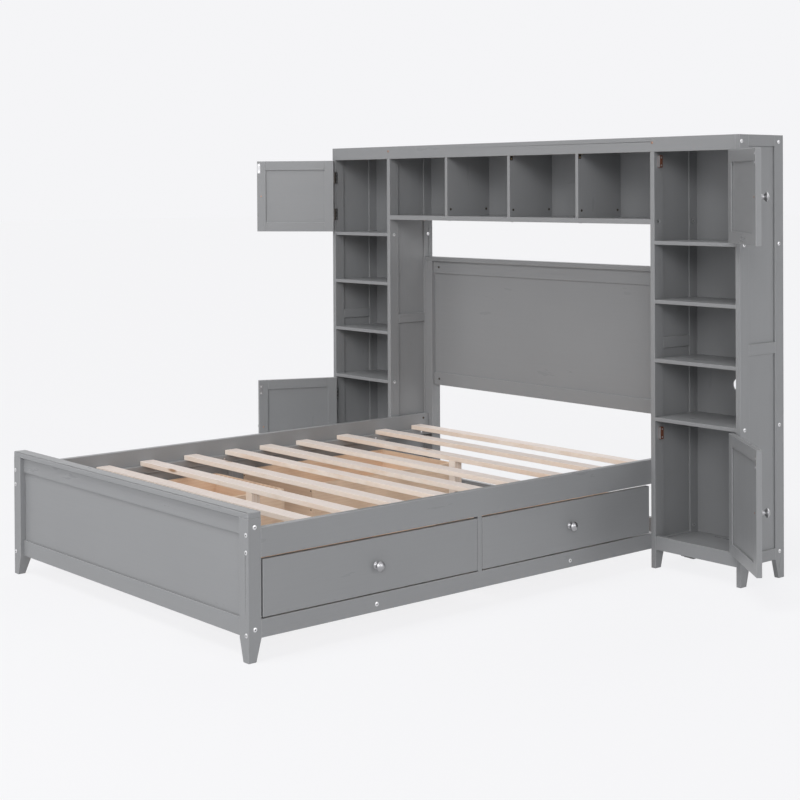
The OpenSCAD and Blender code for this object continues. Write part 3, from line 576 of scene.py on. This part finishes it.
# The four drawers: a painted front like the side rails, screwed from inside to a plain box of
# thin unfinished boards, with a guide block that straddles the bearer under it.
drawers = ("right_foot_drawer", "right_head_drawer", "left_foot_drawer", "left_head_drawer")
ply_face = {"Colour": (0.82, 0.625, 0.47, 1), "Ring colour": (0.72, 0.495, 0.335, 1),
            "Rings": 0.5, "Knots": 0.0}
ply_edge = {"Colour": (0.84, 0.69, 0.53, 1), "Ring colour": (0.68, 0.49, 0.33, 1),
            "Rings": 0.8, "Knots": 0.0}
drawer_ply = finish_from(planed_softwood, "drawer_boards", ply_face, {"Specular IOR Level": 0.35})
drawer_edge = finish_from(planed_softwood, "drawer_board_edges", ply_edge, {"Specular IOR Level": 0.3})
for drawer in drawers:
    from_the_cad(drawer + "_front", painted, body=drawer)
    from_the_cad(drawer + "_box", (drawer_ply, drawer_edge), body=drawer,
                 ease=panel_easing)


# The two towers: framed sides with floating panels, shelves on dowels and bolts between them,
# an apron under the lowest one and a thin painted board nailed on as the back.
shelf_easing, back_easing = 0.001, 0.0005
from_the_cad("tower_outer_sides", painted)
from_the_cad("tower_inner_sides", painted)
from_the_cad("tower_side_panels", painted, ease=panel_easing)
from_the_cad("tower_shelves", painted, ease=shelf_easing)
from_the_cad("tower_aprons", painted)
from_the_cad("tower_backs", painted, ease=back_easing)
from_the_cad("right_tower_back", painted, ease=back_easing)

# The bridge over the headboard: one long board carried by the towers, three dividers on it and
# a fascia across the front; thin boards close the top. All of it painted timber, bolted.
top_easing = 0.0008
from_the_cad("bridge_board", painted)
from_the_cad("bridge_dividers", painted, ease=shelf_easing)
from_the_cad("fascia", painted)
from_the_cad("top_boards", painted, ease=top_easing)


# The four doors: stiles and rails grooved round a floating panel, painted on both faces and
# hung on the towers' outer sides. They stand open as a fitter leaves them.
doors = ("upper_right_door", "lower_right_door", "upper_left_door", "lower_left_door")
hinge_pin = Vector((1.0855, 0.7425, 0))


def door_swing(door):
    """Takes a point of the closed right-hand door to its place on the open door."""
    joint = next(j for j in frame["joints"] if j["child"] == door)
    swing = Matrix.Rotation(math.radians(-joint["range_deg"][0]), 4, "Z")
    turned = Matrix.Translation(hinge_pin) @ swing @ Matrix.Translation(-hinge_pin)
    return Matrix.Diagonal((-1, 1, 1, 1)) @ turned if "left" in door else turned


for door in doors:
    closed = door_swing(door).inverted()
    from_the_cad(door + "_frame", painted, body=door, unswing=closed)
    from_the_cad(door + "_panel", painted, body=door, ease=panel_easing, unswing=closed)


# The knobs: mushroom shapes turned in metal and plated in a dull grey nickel, with a flared foot,
# a neck and a domed cap. A screw from behind holds each on its door or drawer front.
millimetre = 0.001
knob_foot, knob_neck, knob_rim = 11.9, 6.5, 15.6
foot_chamfer, foot_edge, knob_waist = 0.4, 1.2, 10.0
flare_start, flare_end, flare_power = 11.0, 20.3, 1.4
rim_out, rim_start, rim_end = 0.3, 0.5, 1.1
dome_radius, dome_centre, dome_sweep = 18.6, 11.2, 56
foot_steps, flare_steps, dome_steps, knob_turns = 6, 5, 6, 40
door_knob_in = 0.019


def object_place(tree):
    return node(tree, "ShaderNodeTexCoord").outputs["Object"]


def rolled_metal_group():
    """Plated or lacquered metal: cloudy plating, and fine scratches that also vary its roughness."""
    group, given = start_finish("rolled_metal", {"Colour": (0.7, 0.7, 0.71, 1), "Dullness": 0.32})
    place = object_place(group)
    plating = cloudy(group, place, scale=160)
    scratch = cloudy(group, stretched(group, place, (60, 1400, 900)), scale=1, detail=2, roughness=0.7)
    rough = maths(group, "ADD", between(group, scratch, -0.08, 0.08), given["Dullness"])
    return end_finish(group, toned(group, given["Colour"], between(group, plating, 0.9, 1.1)), rough,
                      relief(group, scratch, depth=0.00004, strength=0.4))


rolled_metal = rolled_metal_group()


def metal(name, colour, dullness, metallic=1.0):
    return finish_from(rolled_metal, name, {"Colour": colour, "Dullness": dullness}, {"Metallic": metallic})


nickel = metal("dull_nickel", (0.36, 0.36, 0.37, 1), 0.36)
knob_profile = [(0, 0), (knob_foot - foot_chamfer, 0), (knob_foot, foot_chamfer), (knob_foot, foot_edge)]
for step in range(1, foot_steps + 1):
    turn = math.radians(90 * step / foot_steps)
    knob_profile.append((knob_foot - (knob_foot - knob_neck) * math.sin(turn),
                         knob_waist - (knob_waist - foot_edge) * math.cos(turn)))
for step in range(flare_steps + 1):
    share = step / flare_steps
    knob_profile.append((knob_neck + (knob_rim - rim_out - knob_neck) * share ** flare_power,
                         flare_start + (flare_end - flare_start) * share))
knob_profile += [(knob_rim, flare_end + rim_start), (knob_rim, flare_end + rim_end)]
for step in range(dome_steps + 1):
    turn = math.radians(dome_sweep * (1 - step / dome_steps))
    knob_profile.append((dome_radius * math.sin(turn), dome_centre + dome_radius * math.cos(turn)))


def turned_knob(holder, base, outward):
    """Spins the profile about the screw in a door or drawer; base is where the foot meets the paint."""
    work = bmesh.new()
    rings = []
    for radius, rise in knob_profile:
        turns = [2 * math.pi * k / knob_turns for k in range(knob_turns if radius else 1)]
        ring = [Vector((radius * math.cos(turn), radius * math.sin(turn), rise)) for turn in turns]
        rings.append([work.verts.new(place * millimetre) for place in ring])
    for inner, outer in zip(rings, rings[1:]):
        for k in range(knob_turns):
            ahead = (k + 1) % knob_turns
            corners = (inner[k % len(inner)], inner[ahead % len(inner)],
                       outer[ahead % len(outer)], outer[k % len(outer)])
            work.faces.new(list(dict.fromkeys(corners))).smooth = True
    bmesh.ops.recalc_face_normals(work, faces=work.faces)
    work.transform(Matrix.Translation(base) @ outward.to_track_quat("Z", "Y").to_matrix().to_4x4())
    mesh = bpy.data.meshes.new(holder + "_turned_knob")
    work.to_mesh(mesh)
    work.free()
    mesh.materials.append(nickel)
    piece = placed(holder + "_turned_knob", mesh)
    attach(piece, holder)
    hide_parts(holder + "_knob")


def side_of(name):
    """1 for a part on the right-hand side of the bed, -1 for one on the left."""
    return -1 if "left" in name else 1


def face_middle(box, way):
    """The middle of the face that a box turns that way."""
    low, high = box
    return Vector([(low[k] + high[k]) / 2 + way[k] * (high[k] - low[k]) / 2 for k in range(3)])


def closed_extent(door):
    """The box round a shut door, as if it hung on the right-hand side."""
    boxes = board_boxes(door + "_frame", door_swing(door).inverted())
    return extent([corner for box in boxes for corner in box])


knob_screw_places = {}
for drawer in drawers:
    outward = Vector((side_of(drawer), 0, 0))
    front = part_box(drawer + "_front")
    turned_knob(drawer, face_middle(front, outward), outward)
    knob_screw_places[drawer] = (face_middle(front, -outward), -outward)
for door in doors:
    swing, leaf = door_swing(door), closed_extent(door)
    forward = Vector((0, -1, 0))
    outward = swing.to_3x3() @ forward
    knob_at, screw_at = face_middle(leaf, forward), face_middle(leaf, -forward)
    knob_at.x = screw_at.x = leaf[0].x + door_knob_in
    turned_knob(door, swing @ knob_at, outward)
    knob_screw_places[door] = (swing @ screw_at, -outward)


# The bolts that hold the frame together: steel with a low domed head and a hexagon socket, driven
# until the head sits on the paint. They are zinc-plated; the small ones in the fascia have copper.
tower_front_y = 0.746
bolt_head_radius, fascia_head_radius, bolt_head_height, bolt_shank_radius = 0.0068, 0.0045, 0.002, 0.003
widest_shank, same_plane = 0.0055, 0.01
socket_share, shadow_share, crown_power = 0.36, 0.4, 2.4
head_sides, head_rings, shank_sides = 20, 3, 12
zinc = metal("zinc_plate", (0.66, 0.66, 0.67, 1), 0.34)
copper = metal("copper_plate", (0.38, 0.235, 0.18, 1), 0.36)
# A near-black finish for the faces in and round each bolt's socket: painted shade standing for the shadow
# in the hollow.
socket_shade = metal("socket_shade", (0.05, 0.05, 0.052, 1), 0.6, metallic=0.5)


def rods_of(part, diameter=0):
    """Each rod of a CAD part: its end, the way to that end and its length. A rod lies along
    the side that differs most from its diameter, and its head is at its end."""
    work, rods = welded(part), []
    for board in boards_of(work):
        places = [v.co for v in board]
        low, high = extent(places)
        size, middle = high - low, (low + high) / 2
        axis = max(range(3), key=lambda k: abs(size[k] - diameter))
        aim = Vector([1 if k == axis else 0 for k in range(3)])
        broad = [p for p in places if ((p - middle) - aim * (p - middle).dot(aim)).length > widest_shank]
        if sum((p - middle).dot(aim) for p in broad) < 0:
            aim = -aim
        rods.append((middle + aim * size[axis] / 2, aim, size[axis]))
    work.free()
    return rods


def off_axis(tree, place):
    """How far a place lies from the upright axis."""
    flat = stretched(tree, place, (1, 1, 0))
    return node(tree, "ShaderNodeVectorMath", {0: flat}, operation="LENGTH").outputs["Value"]


def domed_disc(tree, radius, rim, crown, sides, rings):
    """A disc from z = 0, its rim straight and its top swelling by crown to the middle."""
    disc = node(tree, "GeometryNodeMeshCylinder", {
        "Vertices": sides, "Side Segments": 1, "Fill Segments": rings, "Radius": radius, "Depth": rim})
    place = here(tree)
    share = maths(tree, "DIVIDE", off_axis(tree, place), radius)
    fall = maths(tree, "SUBTRACT", 1.0, maths(tree, "POWER", share, crown_power))
    top = maths(tree, "GREATER_THAN", node(tree, "ShaderNodeSeparateXYZ", {0: place}).outputs["Z"], 0.0)
    lift = maths(tree, "MULTIPLY", maths(tree, "MULTIPLY", fall, crown), top)
    lift = maths(tree, "MULTIPLY_ADD", rim, 0.5, lift)
    return node(tree, "GeometryNodeSetPosition", {
        "Geometry": disc.outputs["Mesh"], "Offset": xyz(tree, z=lift)}).outputs["Geometry"]


def cut_away(tree, shape, *cutters):
    cut = node(tree, "GeometryNodeMeshBoolean", {"Mesh 1": shape}, operation="DIFFERENCE", solver="EXACT")
    for cutter in cutters:
        tree.links.new(cutter, cut.inputs["Mesh 2"])
    return cut.outputs["Mesh"]


def raised(tree, shape, height):
    return node(tree, "GeometryNodeTransform", {
        "Geometry": shape, "Translation": xyz(tree, z=height)}).outputs["Geometry"]


def aimed(tree, points, shape, size=(1, 1, 1)):
    """A copy of the shape at every point, turned the way that the point carries."""
    turn = node(tree, "FunctionNodeAlignRotationToVector", {"Vector": named(tree, "aim")}, axis="Z")
    return node(tree, "GeometryNodeInstanceOnPoints", {
        "Points": points, "Instance": shape, "Rotation": turn.outputs["Rotation"],
        "Scale": size}).outputs["Instances"]


def long_rod(tree, points, radius, sides):
    """A rod behind every point, as long as the point carries."""
    rod = node(tree, "GeometryNodeMeshCylinder", {"Vertices": sides, "Radius": radius, "Depth": 1.0})
    rod = raised(tree, rod.outputs["Mesh"], -0.5)
    return aimed(tree, points, rod, xyz(tree, 1, 1, named(tree, "length", "FLOAT")))


def finished(tree, finish, *shapes):
    """All the copies as one plain mesh in its material."""
    join = node(tree, "GeometryNodeJoinGeometry")
    for shape in shapes:
        tree.links.new(shape, join.inputs["Geometry"])
    return coated(tree, real(tree, join.outputs["Geometry"]), finish)


def bolt_tree():
    """Bolts with a six-sided socket; the faces in and round the socket are coloured near-black as painted
    shade.
    """
    tree, given = start_tree("socket_bolts", {
        "Head radius": 0.007, "Head height": 0.002, "Shank radius": 0.003, "Finish": None, "Painted shade": None})
    radius, height, points = given["Head radius"], given["Head height"], given["Points"]
    half = maths(tree, "MULTIPLY", height, 0.5)
    socket = node(tree, "GeometryNodeMeshCylinder", {
        "Vertices": 6, "Radius": maths(tree, "MULTIPLY", radius, socket_share), "Depth": height})
    head = cut_away(tree, domed_disc(tree, radius, half, half, head_sides, head_rings),
                    raised(tree, socket.outputs["Mesh"], height))
    shadow = maths(tree, "MULTIPLY", radius, shadow_share)
    sunk = maths(tree, "LESS_THAN", off_axis(tree, here(tree)), shadow)
    head = stored(tree, head, "painted_shade", sunk, "FLOAT", "FACE")
    bolts = finished(tree, given["Finish"], aimed(tree, points, head),
                     long_rod(tree, points, given["Shank radius"], shank_sides))
    deep = maths(tree, "GREATER_THAN", named(tree, "painted_shade", "FLOAT"), 0.5)
    node(tree, "NodeGroupOutput", {"Mesh": coated(tree, bolts, given["Painted shade"], Selection=deep)})
    return tree


socket_bolt = bolt_tree()


def drive_bolts(name, rods, head_radius, finish):
    piece = run_tree(
        socket_bolt, name, [end - aim * bolt_head_height for end, aim, reach in rods],
        {"aim": [aim for end, aim, reach in rods],
         "length": [reach - bolt_head_height for end, aim, reach in rods]},
        {"Head radius": head_radius, "Head height": bolt_head_height, "Shank radius": bolt_shank_radius,
         "Finish": finish, "Painted shade": socket_shade})
    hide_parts("bolts")
    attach(piece, "frame")


def in_the_fascia(rod):
    """Whether a bolt faces forward from the towers' front."""
    end, aim, reach = rod
    return aim.y < 0 and abs(end.y - tower_front_y) < same_plane


bolt_rods = rods_of("bolts")
drive_bolts("frame_bolts", [rod for rod in bolt_rods if not in_the_fascia(rod)], bolt_head_radius, zinc)
drive_bolts("fascia_bolts", [rod for rod in bolt_rods if in_the_fascia(rod)], fascia_head_radius, copper)


# The barrel nuts that the bolts screw into: short steel rods pushed into bores from the inner
# faces, each with a screwdriver slot across its end.
nut_radius, nut_slot_width, nut_slot_depth = 0.005, 0.0014, 0.0014
nut_cap, nut_crown, nut_sides, slot_share = 0.003, 0.0001, 20, 2.2
bronze = metal("dark_bronze", (0.075, 0.06, 0.05, 1), 0.4, metallic=0.75)


def barrel_nut_tree():
    """Rods with a slotted cap in front; a nut is two of them, end to end."""
    tree, given = start_tree("barrel_nuts", {
        "Radius": 0.005, "Slot width": 0.0012, "Slot depth": 0.0014, "Finish": None})
    radius, points = given["Radius"], given["Points"]
    slot = node(tree, "GeometryNodeMeshCube", {"Size": xyz(
        tree, maths(tree, "MULTIPLY", radius, slot_share), given["Slot width"],
        maths(tree, "MULTIPLY", given["Slot depth"], 2))}).outputs["Mesh"]
    cap = cut_away(tree, domed_disc(tree, radius, nut_cap, nut_crown, nut_sides, 1),
                   raised(tree, slot, nut_cap + nut_crown))
    cap = raised(tree, cap, -nut_cap - nut_crown)
    node(tree, "NodeGroupOutput", {"Mesh": finished(
        tree, given["Finish"], aimed(tree, points, cap), long_rod(tree, points, radius, nut_sides))})
    return tree


nut_rods = []
for end, aim, reach in rods_of("barrel_nuts", 2 * nut_radius):
    nut_rods.append((end, aim, reach - 2 * nut_cap))
    nut_rods.append((end - aim * reach, -aim, nut_cap))
nut_set = run_tree(
    barrel_nut_tree(), "cross_dowels", [end for end, aim, reach in nut_rods],
    {"aim": [aim for end, aim, reach in nut_rods], "length": [reach for end, aim, reach in nut_rods]},
    {"Radius": nut_radius, "Slot width": nut_slot_width, "Slot depth": nut_slot_depth, "Finish": bronze})
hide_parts("barrel_nuts")
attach(nut_set, "frame")


# The small ironmongery: butt hinges, magnetic catches with their strike plates, two angle
# brackets under the fascia, and the block under the right-hand tower's base.
leaf_easing, bracket_easing, catch_easing = 0.0002, 0.0003, 0.0004
leaf_depth, knuckle_gap = 0.0175, 0.0001
magnet_rim, magnet_sink = 0.0015, -0.0005
leaf_steel = metal("leaf_steel", (0.30, 0.295, 0.29, 1), 0.34)


def moulded_plastic_group():
    """Moulded plastic with a fine spark-eroded texture."""
    group, given = start_finish("moulded_plastic", {"Colour": (0.2, 0.1, 0.06, 1), "Dullness": 0.5})
    place = object_place(group)
    grit = cloudy(group, place, scale=1500, detail=2)
    flow = cloudy(group, place, scale=60, detail=2)
    rough = maths(group, "MULTIPLY_ADD", grit, 0.1, given["Dullness"])
    return end_finish(group, toned(group, given["Colour"], between(group, flow, 0.93, 1.07)), rough,
                      relief(group, grit, depth=0.00004, strength=0.5))


moulded_plastic = moulded_plastic_group()
brown_plastic = finish_from(moulded_plastic, "brown_plastic",
                            {"Colour": (0.15, 0.055, 0.03, 1), "Dullness": 0.42}, {})
black_block_finish = finish_from(moulded_plastic, "black_block_finish",
                            {"Colour": (0.02, 0.02, 0.02, 1), "Dullness": 0.5}, {})


def fittings(part, plate, body="frame", unswing=still):
    """Hinge knuckles stay dark, the leaves on the wood are bare steel and a strike plate is plated."""
    piece = from_the_cad(part, (bronze, leaf_steel, plate), body, leaf_easing, unswing)
    piece.modifiers["eased_edges"].material = -1
    for face in piece.data.polygons:
        behind = (unswing @ face.center).y - tower_front_y
        face.material_index = 0 if behind < -knuckle_gap else 1 if behind < leaf_depth else 2


fittings("hinge_leaves", zinc)
from_the_cad("divider_brackets", (bronze,), ease=bracket_easing)
# A small near-black block drawn under the right-hand tower's apron; what it stands for is not known.
from_the_cad("apron_block", (black_block_finish,))
for door in doors:
    fittings(door + "_fittings", nickel, door, door_swing(door).inverted())

catches = from_the_cad("door_catches", (brown_plastic, zinc), ease=catch_easing)
catches.modifiers["eased_edges"].material = -1
catch_work = bmesh.new()
catch_work.from_mesh(catches.data)
magnet_faces = [face for face in catch_work.faces if face.normal.y < -0.9]
bmesh.ops.inset_individual(catch_work, faces=magnet_faces, thickness=magnet_rim, depth=magnet_sink)
for face in magnet_faces:
    face.material_index = 1
catch_work.to_mesh(catches.data)
catch_work.free()


# Every small screw: cross-headed, countersunk or pan-headed, in the hinges, catches, brackets,
# ledgers and drawer corners, and behind each knob; thin pins hold the backs.
screw_sides, screw_rings = 12, 2
bar_length, bar_width, bar_depth = 1.15, 0.3, 1.3
bright_zinc = metal("bright_zinc", (0.74, 0.74, 0.76, 1), 0.34)
brass = metal("yellow_plate", (0.66, 0.50, 0.26, 1), 0.32)


def cross_screw_tree():
    """Screw heads with a cross cut into them by two bars."""
    tree, given = start_tree("cross_screws", {"Radius": 0.003, "Rise": 0.0008, "Finish": None})
    radius, rise = given["Radius"], given["Rise"]
    half = maths(tree, "MULTIPLY", rise, 0.5)
    length, width = maths(tree, "MULTIPLY", radius, bar_length), maths(tree, "MULTIPLY", radius, bar_width)
    depth = maths(tree, "MULTIPLY", rise, bar_depth)
    bars = []
    for size in (xyz(tree, length, width, depth), xyz(tree, width, length, depth)):
        bar = node(tree, "GeometryNodeMeshCube", {"Size": size}).outputs["Mesh"]
        bars.append(raised(tree, bar, rise))
    head = cut_away(tree, domed_disc(tree, radius, half, half, screw_sides, screw_rings), *bars)
    node(tree, "NodeGroupOutput", {"Mesh": finished(
        tree, given["Finish"], aimed(tree, given["Points"], head))})
    return tree


cross_screw = cross_screw_tree()


def drive_screws(name, body, places, kind):
    """Screws of one kind; places holds pairs of the point under the head and the way the head faces."""
    piece = run_tree(cross_screw, name, [point for point, aim in places],
                     {"aim": [aim for point, aim in places]}, kind)
    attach(piece, body)


def spaced(low, high, count):
    """Places evenly from low to high, both included."""
    return [low + (high - low) * k / (count - 1) for k in range(count)]


leaf_screw = {"Radius": 0.0024, "Rise": 0.0002, "Finish": zinc}
door_knob_screw = {"Radius": 0.0034, "Rise": 0.0015, "Finish": copper}
strike_screw = {"Radius": 0.0034, "Rise": 0.0005, "Finish": bright_zinc}
leaf_in, leaf_gap, hinge_from_end, hinge_pitch = 0.006, 0.0003, 0.075, 0.016
strike_in, catch_pitch = 0.017, 0.014
fixed_leaf_screws = []
for door in doors:
    swing, side, leaf = door_swing(door), side_of(door), closed_extent(door)
    screws = []
    for middle in (leaf[0].z + hinge_from_end, leaf[1].z - hinge_from_end):
        for z in (middle - hinge_pitch, middle, middle + hinge_pitch):
            on_door = Vector((hinge_pin.x - leaf_gap, tower_front_y + leaf_in, z))
            screws.append((swing @ on_door, swing.to_3x3() @ Vector((1, 0, 0))))
            on_tower = Vector((side * (hinge_pin.x + leaf_gap), tower_front_y + leaf_in, z))
            fixed_leaf_screws.append((on_tower, Vector((-side, 0, 0))))
    drive_screws(door + "_hinge_screws", door, screws, leaf_screw)
    drive_screws(door + "_knob_screw", door, [knob_screw_places[door]], door_knob_screw)
    inward = Vector((0, 1, 0))
    plates = [box for box in board_boxes(door + "_fittings", swing.inverted())
              if box[0].y > tower_front_y + strike_in]
    screws = [(swing @ (face_middle(plates[0], inward) + Vector((0, 0, step))), swing.to_3x3() @ inward)
              for step in (-catch_pitch, catch_pitch)]
    drive_screws(door + "_strike_screws", door, screws, strike_screw)
drive_screws("fixed_hinge_screws", "frame", fixed_leaf_screws, leaf_screw)

catch_screw = {"Radius": 0.0032, "Rise": 0.0008, "Finish": zinc}
catch_screws = []
for box in board_boxes("door_catches"):
    inward = Vector((math.copysign(1, box[0].x), 0, 0))
    for step in (-catch_pitch, catch_pitch):
        catch_screws.append((face_middle(box, inward) + Vector((0, 0, step)), inward))
drive_screws("catch_screws", "frame", catch_screws, catch_screw)

bracket_screw = {"Radius": 0.0028, "Rise": 0.0009, "Finish": brass}
bracket_thickness, bracket_screw_in = 0.0015, 0.006
bracket_screws = []
for low, high in board_boxes("divider_brackets"):
    y = (low.y + high.y) / 2
    upright = Vector((low.x + bracket_thickness, y, low.z + bracket_screw_in))
    level = Vector((high.x - bracket_screw_in, y, high.z - bracket_thickness))
    bracket_screws += [(upright, Vector((1, 0, 0))), (level, Vector((0, 0, -1)))]
drive_screws("bracket_screws", "frame", bracket_screws, bracket_screw)

ledger_screw = {"Radius": 0.0038, "Rise": 0.0006, "Finish": zinc}
ledger_screw_in, ledger_screw_count = 0.06, 8
ledger_screws = []
for box in board_boxes("slat_ledgers"):
    inward = Vector((-math.copysign(1, box[0].x), 0, 0))
    face = face_middle(box, inward)
    for y in spaced(box[0].y + ledger_screw_in, box[1].y - ledger_screw_in, ledger_screw_count):
        ledger_screws.append((Vector((face.x, y, face.z)), inward))
drive_screws("ledger_screws", "frame", ledger_screws, ledger_screw)

corner_screw = {"Radius": 0.0032, "Rise": 0.0003, "Finish": bronze}
drawer_knob_screw = {"Radius": 0.004, "Rise": 0.0015, "Finish": zinc}
corner_screw_in, corner_screw_heights = 0.006, (0.160, 0.230)
for drawer in drawers:
    low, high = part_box(drawer + "_box")
    screws = [(Vector((x, y, z)), Vector((0, way, 0)))
              for y, way in ((low.y, -1), (high.y, 1)) for z in corner_screw_heights
              for x in (low.x + corner_screw_in, high.x - corner_screw_in)]
    drive_screws(drawer + "_corner_screws", drawer, screws, corner_screw)
    drive_screws(drawer + "_knob_screw", drawer, [knob_screw_places[drawer]], drawer_knob_screw)

back_pin = {"Radius": 0.0022, "Rise": 0.0004, "Finish": zinc}
pin_in, corner_pin_in, pin_pitch = 0.008, 0.01, 0.16
back_pins = []
for part in ("tower_backs", "right_tower_back"):
    for low, high in board_boxes(part):
        tall, wide = [max(2, round((high[k] - low[k]) / pin_pitch)) for k in (2, 0)]
        places = [(x, z) for x in (low.x + pin_in, high.x - pin_in)
                  for z in spaced(low.z + corner_pin_in, high.z - corner_pin_in, tall + 1)]
        places += [(x, z) for z in (low.z + pin_in, high.z - pin_in)
                   for x in spaced(low.x, high.x, wide + 1)[1:-1]]
        back_pins += [(Vector((x, high.y, z)), Vector((0, 1, 0))) for x, z in places]
drive_screws("back_pins", "frame", back_pins, back_pin)

low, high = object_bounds()
